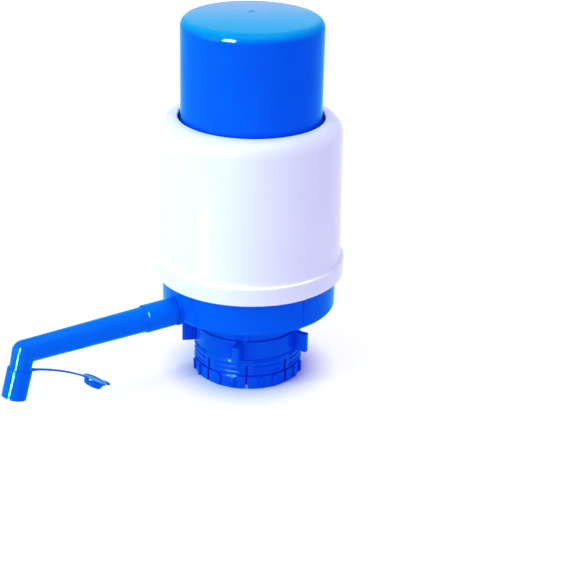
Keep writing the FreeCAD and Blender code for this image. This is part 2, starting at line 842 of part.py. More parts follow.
def make_strap():
    """Whole flat strap, clear of the sleeve and of the open plug."""
    stations = strap_line()
    half = strap_thickness / 2
    upper, lower = [], []
    for index, point in enumerate(stations):
        way = stations[min(index + 1, 2)] - stations[max(index - 1, 0)]
        way.normalize()
        across = way.cross(Vector(0, 1, 0)) * half
        upper.append(point + across)
        lower.append(point - across)
    side = Part.Face(Part.Wire([
        Part.Arc(upper[0], upper[1], upper[2]).toShape(),
        Part.LineSegment(upper[2], lower[2]).toShape(),
        Part.Arc(lower[2], lower[1], lower[0]).toShape(),
        Part.LineSegment(lower[0], upper[0]).toShape(),
    ]))
    side.translate(Vector(0, -strap_width / 2, 0))
    strap = side.extrude(Vector(0, strap_width, 0))
    beyond_plug = nozzle_length + sleeve_overhang + 2 * plug_depth
    keep_out = opened_plug(rod(sleeve_radius + push_fit, nozzle_length, beyond_plug))
    keep_off = on_nozzle(rod(sleeve_radius, 0, beyond_plug))
    return strap.cut([keep_out, keep_off])


def strap_half(side):
    """Half of the strap: side -1 stays with the sleeve, +1 swings with the plug."""
    root, middle, tail = strap_line()
    way = tail - root
    reach = way.Length
    half = Part.makeBox(reach, 2 * strap_width, 2 * reach, Vector(0, -strap_width, -reach))
    if side < 0:
        half.translate(Vector(-reach, 0, 0))
    half.translate(Vector(side * seat_gap, 0, 0))
    half.Placement = Placement(middle, Rotation(Vector(1, 0, 0), way)).multiply(half.Placement)
    return make_strap().common(half)


nodes = {
    "press_cap": make_press_cap,
    "bell_housing": make_housing,
    "stop_washer": make_stop_washer,
    "bellows": make_bellows,
    "bellows_plate": make_bellows_plate,
    "hub_screw": lambda: make_screw(0, plate_bottom, hub_screw_length, -1),
    "return_spring": make_return_spring,
    "inlet_valve": lambda: make_valve(plate_bottom, boss_end, valve_circle),
    "outlet_valve": lambda: make_valve(floor_bottom, floor_top, valve_circle),
    "bellows_clamp_ring": make_clamp_ring,
    "pump_floor": make_pump_floor,
    "floor_screws": make_floor_screws,
    "base_body": make_base,
    "pipe_bush": make_pipe_bush,
    "floor_posts": make_floor_posts,
    "neck_tube": make_neck_tube,
    "water_elbow": make_water_elbow,
    "neck_gasket": make_neck_gasket,
    "lock_ring": make_lock_ring,
    "collet": make_collet,
    "spout_oring": make_spout_oring,
    "spout_arm": make_spout_arm,
    "nozzle_sleeve": make_nozzle_sleeve,
    "strap_root": lambda: strap_half(-1),
    "strap_tail": lambda: strap_half(1),
    "spout_plug": make_spout_plug,
}

os.makedirs("parts", exist_ok=True)
for node, make in nodes.items():
    shape = make()
    shape.exportStep("parts/" + node + ".step")
    print(node, "solids", len(shape.Solids), "valid", shape.isValid(),
          "volume", round(shape.Volume, 1))
print("plug pole", plug_pole(), "nozzle mouth", nozzle_mouth)
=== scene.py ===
import json
import math
import bpy
import bmesh
from mathutils import Matrix, Vector


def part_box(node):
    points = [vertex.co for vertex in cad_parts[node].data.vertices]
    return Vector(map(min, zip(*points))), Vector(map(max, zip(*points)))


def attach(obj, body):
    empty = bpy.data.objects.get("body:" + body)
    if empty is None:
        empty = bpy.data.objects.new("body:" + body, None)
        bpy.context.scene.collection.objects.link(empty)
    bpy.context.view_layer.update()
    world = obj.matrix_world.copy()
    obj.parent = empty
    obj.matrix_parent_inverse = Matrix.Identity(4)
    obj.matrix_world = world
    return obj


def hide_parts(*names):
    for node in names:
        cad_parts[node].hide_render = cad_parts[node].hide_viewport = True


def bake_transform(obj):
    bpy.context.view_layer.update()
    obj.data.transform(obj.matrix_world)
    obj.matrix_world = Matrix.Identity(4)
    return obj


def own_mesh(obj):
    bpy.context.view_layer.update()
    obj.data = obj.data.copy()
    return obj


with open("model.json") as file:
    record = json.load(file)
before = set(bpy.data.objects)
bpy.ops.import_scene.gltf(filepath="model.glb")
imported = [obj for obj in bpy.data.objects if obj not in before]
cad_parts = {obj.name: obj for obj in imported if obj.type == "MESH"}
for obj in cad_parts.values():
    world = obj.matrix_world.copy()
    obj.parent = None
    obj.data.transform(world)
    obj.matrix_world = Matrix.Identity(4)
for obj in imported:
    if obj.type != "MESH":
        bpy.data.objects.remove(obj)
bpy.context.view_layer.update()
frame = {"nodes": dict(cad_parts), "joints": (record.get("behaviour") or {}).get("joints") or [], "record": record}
mm = 0.001
sameSpot = 1e-7                # points closer than this, in metres, are one point
print("frame loaded,", len(frame["nodes"]), "nodes")


class Signal:
    # a shader socket that can be used in sums
    def __init__(self, graph, socket):
        self.graph = graph
        self.socket = socket

    def __add__(self, other):
        return self.graph.maths("ADD", self, other)

    def __radd__(self, other):
        return self.graph.maths("ADD", other, self)

    def __sub__(self, other):
        return self.graph.maths("SUBTRACT", self, other)

    def __rsub__(self, other):
        return self.graph.maths("SUBTRACT", other, self)

    def __mul__(self, other):
        return self.graph.maths("MULTIPLY", self, other)

    def __rmul__(self, other):
        return self.graph.maths("MULTIPLY", other, self)

    def __truediv__(self, other):
        return self.graph.maths("DIVIDE", self, other)

    def __rtruediv__(self, other):
        return self.graph.maths("DIVIDE", other, self)

    def __pow__(self, other):
        return self.graph.maths("POWER", self, other)

    def __rpow__(self, other):
        return self.graph.maths("POWER", other, self)

    def clamp(self):
        return self.graph.maths("MAXIMUM", self.graph.maths("MINIMUM", self, 1.0), 0.0)

    def ramp(self, start, gain):
        # 0 up to start, then rising to 1
        return ((self - start) * gain).clamp()


def addNode(tree, kind, settings=None, values=None):
    # the settings come first, then each socket gets its value or its link
    made = tree.nodes.new(kind)
    for key, value in (settings or {}).items():
        setattr(made, key, value)
    for key, value in (values or {}).items():
        if isinstance(value, Signal):
            value = value.socket
        if isinstance(value, bpy.types.NodeSocket):
            tree.links.new(value, made.inputs[key])
        else:
            made.inputs[key].default_value = value
    return made


# noise patterns in the piece's own coordinates; a scale is in cells per metre
patterns = {
    "peel": {"scale": 420.0},
    "cloud": {"scale": 28.0, "detail": 3.0, "rough": 0.6},
    "patch": {"scale": 34.0, "detail": 1.0},
    "smudge": {"scale": 60.0, "detail": 4.0, "rough": 0.65, "stretch": (1, 1, 0.45),
               "turn": (0.4, 0.2, 0.9)},
    "hairUp": {"scale": 110.0, "detail": 1.0, "stretch": (1, 30, 2), "turn": (0.5, 0.3, 0.2)},
    "hairRound": {"scale": 90.0, "detail": 1.0, "stretch": (34, 1, 2), "turn": (0.1, 0.9, 0.7)},
    "drawLines": {"scale": 520.0, "detail": 1.0, "stretch": (1, 1, 0.02)},
    "gateSwirl": {"scale": 60.0},
    "rubberGrain": {"scale": 1500.0, "detail": 3.0, "rough": 0.6},
    "rubberCloud": {"scale": 90.0, "detail": 4.0, "rough": 0.6},
    "wireLines": {"scale": 900.0, "stretch": (1, 1, 12)},
    "wireHaze": {"scale": 120.0, "detail": 3.0},
    "paperGrain": {"scale": 900.0},
}
# where a mark starts to show in its noise, and how steeply it grows from there
showing = {
    "cloud": (0.42, 1.6), "patch": (0.5, 5.0), "smudge": (0.52, 3.2), "rubAndLightPatches": (0.3, 2.0),
    "hairUp": (0.72, 12.0), "hairRound": (0.73, 12.0), "dust": (0.5, 6.0),
    "bloom": (0.38, 2.0), "wireHaze": (0.4, 2.2),
}


class Graph:
    def __init__(self, tree):
        self.tree = tree
        self.tree.nodes.clear()

    def node(self, kind, settings=None, values=None):
        return addNode(self.tree, kind, settings, values)

    def add(self, kind, settings=None, values=None, output=0):
        return Signal(self, self.node(kind, settings, values).outputs[output])

    def maths(self, operation, *values):
        return self.add("ShaderNodeMath", {"operation": operation}, dict(enumerate(values)))

    def vectors(self, operation, first, second):
        return self.add("ShaderNodeVectorMath", {"operation": operation},
                        {0: first, 1: second}, "Value")

    def mixColour(self, factor, first, second):
        return self.add("ShaderNodeMix", {"data_type": "RGBA", "blend_type": "MIX"},
                        {0: factor, 6: first, 7: second}, 2)

    def place(self, stretch=(1, 1, 1), turn=(0, 0, 0)):
        spot = self.add("ShaderNodeTexCoord", {}, {}, "Object")
        return self.add("ShaderNodeMapping", {},
                        {"Vector": spot, "Rotation": turn, "Scale": stretch})

    def pattern(self, name):
        row = patterns[name]
        place = self.place(row.get("stretch", (1, 1, 1)), row.get("turn", (0, 0, 0)))
        return self.add("ShaderNodeTexNoise", {}, {
            "Vector": place, "Scale": row["scale"], "Detail": row.get("detail", 2.0),
            "Roughness": row.get("rough", 0.5)})

    def mark(self, name):
        return self.pattern(name).ramp(*showing[name])

    def backdropRays(self):
        # 1 for each ray that sees the plain backdrop, straight or in a gloss
        rays = self.node("ShaderNodeLightPath")
        camera, glossy, passing = (
            Signal(self, rays.outputs[name])
            for name in ("Is Camera Ray", "Is Glossy Ray", "Is Transmission Ray"))
        return (camera + glossy + passing).clamp()


def finishUp(graph, surface, bumps, edge=0.0):
    # edge: radius that moulded corners are softened to
    # bumps: (height, distance) pairs, laid one over another
    normal = None
    if edge:
        normal = graph.add("ShaderNodeBevel", {"samples": 6}, {"Radius": edge})
    for height, distance in bumps:
        values = {"Height": height, "Distance": distance, "Strength": 1.0}
        if normal is not None:
            values["Normal"] = normal
        normal = graph.add("ShaderNodeBump", {}, values)
    if normal is not None:
        surface["Normal"] = normal
    shader = graph.add("ShaderNodeBsdfPrincipled", {}, surface)
    graph.node("ShaderNodeOutputMaterial", {}, {"Surface": shader})


def newMaterial(name):
    material = bpy.data.materials.new(name)
    material.use_nodes = True
    return material, Graph(material.node_tree)


# glossy moulded plastic; peel, scratch and corner are in metres
bluePlastic = {
    "colour": (0.0, 0.100, 0.80, 1), "deep": (0.0, 0.080, 0.75, 1),
    # the paler top colour and the edge colour are painted light on the cap: a paler top and a lighter shoulder
    # band
    "worn": (0.03, 0.18, 0.84, 1), "paintedTopLight": (0.54, 0.44, 0.72, 1), "edge": (0.0, 0.32, 0.72, 1),
    "roughness": 0.05, "smudge": 0.05, "ior": 1.23, "coat": 1.0, "coatIor": 1.045,
    "coatTint": (0.2, 0.94, 1.0, 1), "sheen": 0.10, "sheenTint": (0.0, 0.9, 1.0, 1),
    "peel": 0.000008, "scratch": 0.000003, "corner": 0.0003,
    # the recess colour is painted shade, laid into corners and recesses
    "paintedRecessShade": (0.012, 0.018, 0.76, 1), "recessShadeReach": 0.012,
}
whitePlastic = {
    "colour": (0.845, 0.855, 0.935, 1), "deep": (0.80, 0.81, 0.91, 1),
    "worn": (0.78, 0.78, 0.86, 1),
    "roughness": 0.13, "smudge": 0.09, "ior": 1.42, "coat": 0.15, "coatIor": 1.5,
    "coatTint": (1, 1, 1, 1), "sheen": 0.0, "sheenTint": (1, 1, 1, 1),
    "peel": 0.000008, "scratch": 0.000002, "corner": 0.0003,
}
armPlastic = dict(bluePlastic, colour=(0.0, 0.132, 0.79, 1), deep=(0.0, 0.108, 0.75, 1),
                  sheen=0.24)
sleevePlastic = dict(bluePlastic, roughness=0.09, smudge=0.06, peel=0.000012,
                     colour=(0.0, 0.125, 0.78, 1), deep=(0.0, 0.10, 0.72, 1))
mouldedSkin = {
    "coatRoughness": 0.045, "sheenRoughness": 0.45, "drawDepth": 0.8,
    # the last two set where the painted recess shade starts and how steeply it grows
    "scratchColour": 0.35, "scratchRoughness": 0.12, "recessShadeFrom": 0.94, "recessShadeGain": 1.9,
}
# rings that the plastic leaves as it flows from its gate
gateRings = {"perMetre": 620.0, "wander": 9.0, "fade": 34.0, "shade": 0.25, "depth": 0.35}
# painted light on the cap: a paler flat, strongest towards one side, and a lighter band on the shoulder; the
# flat's mask also makes the skin rougher and the coat thinner where a hand rubs it
palmRubAndTopLight = {
    "edgeBelow": 5.2 * mm, "edgeSpan": 4.2 * mm, "edgeCurve": 1.5,
    "flatBelow": 1.1 * mm, "flatSpan": 1.0 * mm, "towards": (0.56, 0.83, 0.0),
    "across": 66.0 * mm, "uneven": 0.24, "least": 0.82, "roughness": 0.12, "coatLost": 0.62,
}


def mouldedPlastic(name, look, gate=None, drawn=True, paintedTopLight=None):
    # orange peel, draw lines up the sides, hairline scratches, handling smudges, painted recess shade where the
    # look has it, and on the cap the gate's rings, a painted paler top and lighter shoulder, and rougher skin
    # where a hand presses
    material, graph = newMaterial(name)
    skin = mouldedSkin
    place = graph.place()
    smudge = graph.pattern("smudge")
    scratch = (graph.mark("hairUp") + graph.mark("hairRound")).clamp() * graph.mark("patch")
    sweep = smudge.ramp(*showing["smudge"])
    shade = graph.mark("cloud")
    bumps = [(graph.pattern("peel"), look["peel"]), (1.0 - scratch, look["scratch"])]
    if drawn:
        bumps.append((graph.pattern("drawLines"), look["peel"] * skin["drawDepth"]))
    if gate:
        around = graph.vectors("DISTANCE", place, gate)
        swirl = graph.pattern("gateSwirl") * gateRings["wander"]
        ring = graph.maths("SINE", around * gateRings["perMetre"] + swirl)
        ring = ring * (1.0 - around * gateRings["fade"]).clamp()
        shade = (shade + ring * gateRings["shade"]).clamp()
        bumps.append((ring, look["peel"] * gateRings["depth"]))
    colour = graph.mixColour(shade, look["colour"], look["deep"])
    if "paintedRecessShade" in look:
        # painted shade: the colour darkens in corners and recesses, by ambient occlusion
        opened = graph.add("ShaderNodeAmbientOcclusion", {"samples": 8, "only_local": True},
                           {"Distance": look["recessShadeReach"]}, "AO")
        closed = ((skin["recessShadeFrom"] - opened) * skin["recessShadeGain"]).clamp()
        colour = graph.mixColour(closed, colour, look["paintedRecessShade"])
    colour = graph.mixColour(scratch * skin["scratchColour"], colour, look["worn"])
    roughness = look["roughness"] + sweep * look["smudge"] + scratch * skin["scratchRoughness"]
    coat = look["coat"]
    if paintedTopLight:
        height = graph.add("ShaderNodeSeparateXYZ", {}, {0: place}, 2)
        rise = ((height - (paintedTopLight - palmRubAndTopLight["edgeBelow"])) / palmRubAndTopLight["edgeSpan"]).clamp()
        flat = ((height - (paintedTopLight - palmRubAndTopLight["flatBelow"])) / palmRubAndTopLight["flatSpan"]).clamp()
        reach = graph.vectors("DOT_PRODUCT", place, palmRubAndTopLight["towards"])
        grip = smudge.ramp(*showing["rubAndLightPatches"]) * palmRubAndTopLight["uneven"] + palmRubAndTopLight["least"]
        rubAndTopLight = ((reach / palmRubAndTopLight["across"] + 0.5).clamp() * grip * flat).clamp()
        # painted light: the shoulder turns lighter towards the top, and the flat paler towards one side
        colour = graph.mixColour(rise ** palmRubAndTopLight["edgeCurve"], colour, look["edge"])
        colour = graph.mixColour(rubAndTopLight, colour, look["paintedTopLight"])
        roughness = roughness + rubAndTopLight * palmRubAndTopLight["roughness"]
        coat = look["coat"] - rubAndTopLight * palmRubAndTopLight["coatLost"]
    finishUp(graph, {"Base Color": colour, "Roughness": roughness, "IOR": look["ior"],
                     "Coat Weight": coat, "Coat Roughness": skin["coatRoughness"],
                     "Coat IOR": look["coatIor"], "Coat Tint": look["coatTint"],
                     "Sheen Weight": look["sheen"], "Sheen Roughness": skin["sheenRoughness"],
                     "Sheen Tint": look["sheenTint"]}, bumps, look["corner"])
    return material


# soft rubber, black and milky
blackRubber = {
    "colour": (0.018, 0.018, 0.02, 1), "pale": (0.05, 0.05, 0.052, 1),
    "roughness": 0.55, "bloom": 0.6, "grain": 0.000010, "scatter": 0.0,
}
milkyRubber = {
    "colour": (0.72, 0.73, 0.70, 1), "pale": (0.86, 0.87, 0.84, 1),
    "roughness": 0.36, "bloom": 0.8, "grain": 0.000006, "scatter": 0.25,
}
rubberDust = {"scale": 900.0, "size": 0.16, "edge": 9.0, "share": 0.25,
              "colour": (0.75, 0.76, 0.78, 1)}
rubberSkin = {"ior": 1.45, "scatterDepth": 2.0 * mm, "bloomRoughness": 0.16,
              "grainRoughness": 0.06, "cloudDepth": 2.0}


def softMaterial(name, look):
    # a fine satin grain, a bloom of paler skin, and small specks of dust
    material, graph = newMaterial(name)
    grain = graph.pattern("rubberGrain")
    cloud = graph.pattern("rubberCloud")
    specks = graph.add("ShaderNodeTexVoronoi", {"feature": "F1"},
                       {"Vector": graph.place(), "Scale": rubberDust["scale"]}, "Distance")
    dust = ((rubberDust["size"] - specks) * rubberDust["edge"]).clamp()
    dust = dust * cloud.ramp(*showing["dust"])
    paler = cloud.ramp(*showing["bloom"]) * look["bloom"]
    colour = graph.mixColour(paler, look["colour"], look["pale"])
    colour = graph.mixColour(dust * rubberDust["share"], colour, rubberDust["colour"])
    roughness = look["roughness"] + paler * rubberSkin["bloomRoughness"]
    surface = {"Base Color": colour, "IOR": rubberSkin["ior"],
               "Roughness": roughness + grain * rubberSkin["grainRoughness"],
               "Subsurface Weight": look["scatter"],
               "Subsurface Scale": rubberSkin["scatterDepth"]}
    finishUp(graph, surface, [(grain, look["grain"]),
                              (cloud, look["grain"] * rubberSkin["cloudDepth"])])
    return material


steel = {"bright": (0.60, 0.60, 0.62, 1), "hazed": (0.44, 0.43, 0.42, 1), "roughness": 0.2,
         "hazeRoughness": 0.14, "lineRoughness": 0.08, "lineDepth": 0.000006}


def steelWire(name, look):
    # bright wire with drawing lines and a little oil haze
    material, graph = newMaterial(name)
    lines = graph.pattern("wireLines")
    haze = graph.pattern("wireHaze")
    colour = graph.mixColour(haze.ramp(*showing["wireHaze"]), look["bright"], look["hazed"])
    roughness = look["roughness"] + haze * look["hazeRoughness"] + lines * look["lineRoughness"]
    finishUp(graph, {"Base Color": colour, "Roughness": roughness, "Metallic": 1.0},
             [(lines, look["lineDepth"])])
    return material


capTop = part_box("press_cap")[1].z
capGate = {"out": 10.9 * mm, "turn": 58.5}     # distance from the axis, and degrees about it
gateTurn = math.radians(capGate["turn"])
gatePoint = (capGate["out"] * math.cos(gateTurn), capGate["out"] * math.sin(gateTurn), capTop)
paint = {
    "capBlue": mouldedPlastic("capBlue", bluePlastic, gate=gatePoint, paintedTopLight=capTop),
    "bodyBlue": mouldedPlastic("bodyBlue", bluePlastic),
    "collarBlue": mouldedPlastic("collarBlue", bluePlastic),
    "armBlue": mouldedPlastic("armBlue", armPlastic, drawn=False),
    "housingWhite": mouldedPlastic("housingWhite", whitePlastic),
    "innerWhite": mouldedPlastic("innerWhite", whitePlastic),
    "sleeveBlue": mouldedPlastic("sleeveBlue", sleevePlastic, drawn=False),
    "blackRubber": softMaterial("blackRubber", blackRubber),
    "milkyRubber": softMaterial("milkyRubber", milkyRubber),
    "steelWire": steelWire("steelWire", steel),
}
nodePaint = {
    "press_cap": "capBlue", "base_body": "bodyBlue", "floor_posts": "bodyBlue",
    "pipe_bush": "bodyBlue", "neck_tube": "bodyBlue", "water_elbow": "armBlue",
    "spout_arm": "armBlue", "lock_ring": "collarBlue", "collet": "collarBlue",
    "bell_housing": "housingWhite", "pump_floor": "innerWhite",
    "bellows_clamp_ring": "innerWhite", "bellows_plate": "innerWhite",
    "floor_screws": "steelWire", "hub_screw": "steelWire", "return_spring": "steelWire",
    "stop_washer": "blackRubber", "inlet_valve": "blackRubber",
    "outlet_valve": "blackRubber", "spout_oring": "blackRubber",
    "neck_gasket": "milkyRubber", "bellows": "milkyRubber",
    "nozzle_sleeve": "sleeveBlue", "strap_root": "sleeveBlue", "strap_tail": "sleeveBlue",
    "spout_plug": "sleeveBlue",
}
for name, node in frame["nodes"].items():
    node.data.materials.clear()
    node.data.materials.append(paint[nodePaint[name]])
print("materials made:", len(paint))


def roundedProfile(corners, steps=5, most=0.48):
    # (radius, height, fillet) corners of a closed outline, with their corners rounded;
    # a fillet takes no more than the share `most` of a side
    points = []
    count = len(corners)
    for index, corner in enumerate(corners):
        here = Vector(corner[:2])
        fillet = corner[2] if len(corner) > 2 else 0
        if fillet <= 0:
            points.append(here)
            continue
        back = Vector(corners[index - 1][:2]) - here
        ahead = Vector(corners[(index + 1) % count][:2]) - here
        half = back.angle(ahead) / 2
        reach = min(fillet / math.tan(half), back.length * most, ahead.length * most)
        start, end = here + back.normalized() * reach, here + ahead.normalized() * reach
        for step in range(steps + 1):
            share = step / steps
            points.append(start.lerp(here, share).lerp(here.lerp(end, share), share))
    return points


def lathed(name, corners, steps, place=None):
    # closed outline turned about Z; points on the axis close into poles
    outline = [(max(x, 0.0), z) for x, z in roundedProfile(corners)]
    mesh = bmesh.new()
    rings = []
    for radius, height in outline:
        if radius < sameSpot:
            rings.append([mesh.verts.new((0, 0, height))])
            continue
        ring = []
        for step in range(steps):
            angle = 2 * math.pi * step / steps
            ring.append(mesh.verts.new((radius * math.cos(angle), radius * math.sin(angle),
                                        height)))
        rings.append(ring)
    for index, ring in enumerate(rings):
        other = rings[(index + 1) % len(rings)]
        if len(ring) == 1 and len(other) == 1:
            continue
        for step in range(steps):
            following = (step + 1) % steps
            patch = [ring[step % len(ring)], other[step % len(other)],
                     other[following % len(other)], ring[following % len(ring)]]
            patch = list(dict.fromkeys(patch))
            if len(patch) > 2:
                mesh.faces.new(patch)
    return wrapUp(name, mesh, place)


def wrapUp(name, mesh, place=None, smooth=True):
    bmesh.ops.remove_doubles(mesh, verts=mesh.verts, dist=sameSpot)
    bmesh.ops.recalc_face_normals(mesh, faces=mesh.faces)
    data = bpy.data.meshes.new(name)
    mesh.to_mesh(data)
    mesh.free()
    if place is not None:
        data.transform(place)
    made = bpy.data.objects.new(name, data)
    bpy.context.scene.collection.objects.link(made)
    if smooth:
        data.shade_smooth()
        sharpen(made)
    return made


def sharpen(made, angle=38.0):
    # smooth shading that keeps corners sharper than the angle, in degrees
    with bpy.context.temp_override(object=made, active_object=made,
                                   selected_objects=[made],
                                   selected_editable_objects=[made]):
        bpy.ops.object.shade_smooth_by_angle(angle=math.radians(angle))


def dress(made, finish, body, *stands):
    # gives a piece its finish, the body it rides on and the nodes it replaces
    made.data.materials.clear()
    made.data.materials.append(paint[finish])
    if body:
        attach(made, body)
    if stands:
        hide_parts(*stands)
    return made


def settle(made):
    # the evaluated modifiers become a plain mesh
    graph = bpy.context.evaluated_depsgraph_get()
    data = bpy.data.meshes.new_from_object(made.evaluated_get(graph))
    made.modifiers.clear()
    made.data = data
    return made


class Tree:
    # a geometry node tree with named inputs for its sizes
    def __init__(self, name, sizes):
        self.tree = bpy.data.node_groups.new(name, "GeometryNodeTree")
        self.sockets = {}
        face = self.tree.interface
        for key, kind in sizes.items():
            self.sockets[key] = face.new_socket(key, in_out="INPUT", socket_type=kind)
        face.new_socket("Geometry", in_out="OUTPUT", socket_type="NodeSocketGeometry")
        self.entry = self.tree.nodes.new("NodeGroupInput")
        self.exit = self.tree.nodes.new("NodeGroupOutput")

    def size(self, key):
        return self.entry.outputs[key]

    def node(self, kind, settings=None, values=None):
        return addNode(self.tree, kind, settings, values)

    def finish(self, socket):
        real = self.node("GeometryNodeRealizeInstances", {}, {0: socket})
        smooth = self.node("GeometryNodeSetShadeSmooth", {}, {0: real.outputs[0]})
        coat = self.node("GeometryNodeSetMaterial", {}, {
            "Geometry": smooth.outputs[0], "Material": self.size("Finish")})
        self.tree.links.new(coat.outputs[0], self.exit.inputs[0])

    def grow(self, name, amounts, place=None):
        data = bpy.data.meshes.new(name)
        made = bpy.data.objects.new(name, data)
        bpy.context.scene.collection.objects.link(made)
        modifier = made.modifiers.new("grow", "NODES")
        modifier.node_group = self.tree
        for key, amount in amounts.items():
            modifier[self.sockets[key].identifier] = amount
        settle(made)
        if place is not None:
            made.data.transform(place)
        made.data.update()
        return made


# return spring, one wire wound on a helix
spring = {"coil": 10.0 * mm, "wire": 0.9 * mm, "turns": 9.0, "stepsPerTurn": 48, "sides": 12}
springTree = Tree("coilSpring", {
    "Coil": "NodeSocketFloat", "Wire": "NodeSocketFloat", "Turns": "NodeSocketFloat",
    "Height": "NodeSocketFloat", "Finish": "NodeSocketMaterial"})
helix = springTree.node("GeometryNodeCurveSpiral", {}, {
    "Resolution": spring["stepsPerTurn"], "Rotations": springTree.size("Turns"),
    "Start Radius": springTree.size("Coil"), "End Radius": springTree.size("Coil"),
    "Height": springTree.size("Height")})
section = springTree.node("GeometryNodeCurvePrimitiveCircle", {}, {
    "Resolution": spring["sides"], "Radius": springTree.size("Wire")})
wire = springTree.node("GeometryNodeCurveToMesh", {}, {
    "Curve": helix.outputs[0], "Profile Curve": section.outputs[0], "Fill Caps": True})
springTree.finish(wire.outputs[0])
low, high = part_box("return_spring")
coil = springTree.grow("returnSpring", {
    "Coil": spring["coil"], "Wire": spring["wire"], "Turns": spring["turns"],
    "Height": high.z - low.z - 2 * spring["wire"], "Finish": paint["steelWire"]},
    Matrix.Translation((0, 0, low.z + spring["wire"])))
dress(coil, "steelWire", "pump_body", "return_spring")
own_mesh(coil)
print("spring done")

# bellows: soft pleats between a flat foot and a closed top
bellows = {"folds": 10, "peak": 32.5 * mm, "valley": 26.0 * mm, "skin": 1.5 * mm,
           "foot": 37.0 * mm, "footHeight": 1.6 * mm, "footEdge": 0.5 * mm,
           "footInside": 0.6 * mm, "top": 1.2 * mm, "soft": 1.6 * mm, "valleySoft": 0.8,
           "around": 112}


def bellowsOutline(low, high):
    footTop = low + bellows["footHeight"]
    fold = (high - footTop) / bellows["folds"]
    soft, skin = bellows["soft"], bellows["skin"]
    valleySoft = soft * bellows["valleySoft"]
    outside = [(bellows["foot"], low, bellows["footEdge"]),
               (bellows["foot"], footTop, bellows["footEdge"]),
               (bellows["valley"], footTop, bellows["footInside"])]
    inside = [(bellows["valley"] - skin, low)]
    for index in range(bellows["folds"]):
        level = footTop + index * fold
        last = index == bellows["folds"] - 1
        outside.append((bellows["peak"], level + fold / 2, soft))
        inside.append((bellows["peak"] - skin, level + fold / 2, soft))
        outside.append((bellows["valley"], level + fold, valleySoft))
        top = level + fold - (bellows["top"] if last else 0)
        inside.append((bellows["valley"] - skin, top, valleySoft))
    return outside + [(0, high), (0, high - bellows["top"])] + inside[::-1]


low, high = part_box("bellows")
pleats = lathed("bellowsSkin", bellowsOutline(low.z, high.z), bellows["around"])
dress(pleats, "milkyRubber", "pump_body", "bellows")
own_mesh(pleats)
print("bellows done")

# rubber rings; a groove's edges and slopes are shares of the edge and of the pitch
rubberRing = {"edge": 0.45 * mm, "thinEdge": 0.3, "grooveEdge": 0.6, "slope": 0.25,
              "around": 128, "washerWidth": 1.9 * mm, "gasketWidth": 2.6 * mm}


def softRing(name, node, body, finish, width, ribs=1):
    # width: how far the ring reaches in from its outer edge
    low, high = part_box(node)
    outer = high.x
    inner = outer - width
    edge = min(rubberRing["edge"], (high.z - low.z) * rubberRing["thinEdge"])
    grooveEdge, slope = edge * rubberRing["grooveEdge"], rubberRing["slope"]
    corners = [(inner, low.z, edge), (outer, low.z, edge), (outer, high.z, edge)]
    pitch = width / (2 * ribs + 1)
    for rib in range(ribs):
        # shallow grooves leave lips that seal
        right = outer - pitch * (2 * rib + 1)
        corners += [(right, high.z, grooveEdge),
                    (right - pitch * slope, high.z - edge, grooveEdge),
                    (right - pitch * (1 - slope), high.z - edge, grooveEdge),
                    (right - pitch, high.z, grooveEdge)]
    corners.append((inner, high.z, edge))
    return dress(lathed(name, corners, rubberRing["around"]), finish, body, node)


softRing("stopWasher", "stop_washer", "press_head", "blackRubber", rubberRing["washerWidth"])
softRing("neckGasket", "neck_gasket", "pump_body", "milkyRubber", rubberRing["gasketWidth"], 2)

# mushroom flaps of the two valves; rows give (radius, height, fillet) in millimetres,
# the disc from the bottom up and the barb from the top down
flap = {"disc": 5.6, "stem": 1.3, "barb": 2.2, "x": 18.5, "around": 64,
        "dish": ((0.0, 0.1, 0), (0.5, 0.12, 0.3)), "rim": (0.35, 0.25), "back": (1.0, 0.12),
        "root": 0.2, "barbFoot": (1.8, 0.15), "barbTop": (1.5, 0.25), "tip": (0.7, 0.3)}


def flapValve(name, node, body):
    low, high = (corner.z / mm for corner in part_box(node))
    disc, stem, barb = flap["disc"], flap["stem"], flap["barb"]
    corners = [(disc * share, low + rise, fillet) for share, rise, fillet in flap["dish"]]
    corners += [(disc, low + flap["rim"][0], flap["rim"][1]),
                (disc, low + flap["back"][0], flap["back"][1]),
                (stem, low + flap["back"][0], flap["root"]),
                (stem, high - flap["barbFoot"][0], flap["barbFoot"][1]),
                (barb, high - flap["barbTop"][0], flap["barbTop"][1]),
                (stem * flap["tip"][0], high, flap["tip"][1]), (0, high, 0)]
    corners = [tuple(number * mm for number in corner) for corner in corners]
    made = lathed(name, corners, flap["around"], Matrix.Translation((flap["x"] * mm, 0, 0)))
    return dress(made, "blackRubber", body, node)


flapValve("inletFlap", "inlet_valve", "inlet_flap")
flapValve("outletFlap", "outlet_valve", "outlet_flap")

# seal of the arm, a round rubber ring on its side
armSeal = {"sides": 16, "around": 72}
low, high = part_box("spout_oring")
sealWire = (high.x - low.x) / 2
sealRadius = (high.z - low.z) / 2 - sealWire
sealAngles = [2 * math.pi * side / armSeal["sides"] for side in range(armSeal["sides"])]
sealSection = [(sealRadius + sealWire * math.cos(angle), sealWire * math.sin(angle))
               for angle in sealAngles]
along = Matrix.Translation((low + high) / 2) @ Matrix.Rotation(math.radians(90), 4, "Y")
dress(lathed("armRing", sealSection, armSeal["around"], along), "blackRubber", "pump_body",
      "spout_oring")
print("rubber rings done")

# frame of the nozzle: Z runs out of the mouth, and the plug swings about its pole
outlet = next(m for m in frame["record"]["mounts"] if m["name"] == "spout_outlet")
swing = next(j for j in frame["joints"] if j["name"] == "plug_swing")
mouthWay = Vector(outlet["axis"]).normalized()
mouthEnd = Vector(outlet["pos_m"])             # end of the hard nozzle
sideWay = Vector((0, 1, 0))
frontWay = sideWay.cross(mouthWay).normalized()
nozzleTurn = Matrix((frontWay, sideWay, mouthWay)).transposed().to_4x4()
nozzlePlace = Matrix.Translation(mouthEnd) @ nozzleTurn
pole = Matrix.Translation(Vector(swing["pos_m"]))
opened = pole @ Matrix.Rotation(-math.radians(swing["range_deg"][1]), 4, "Y") @ pole.inverted()

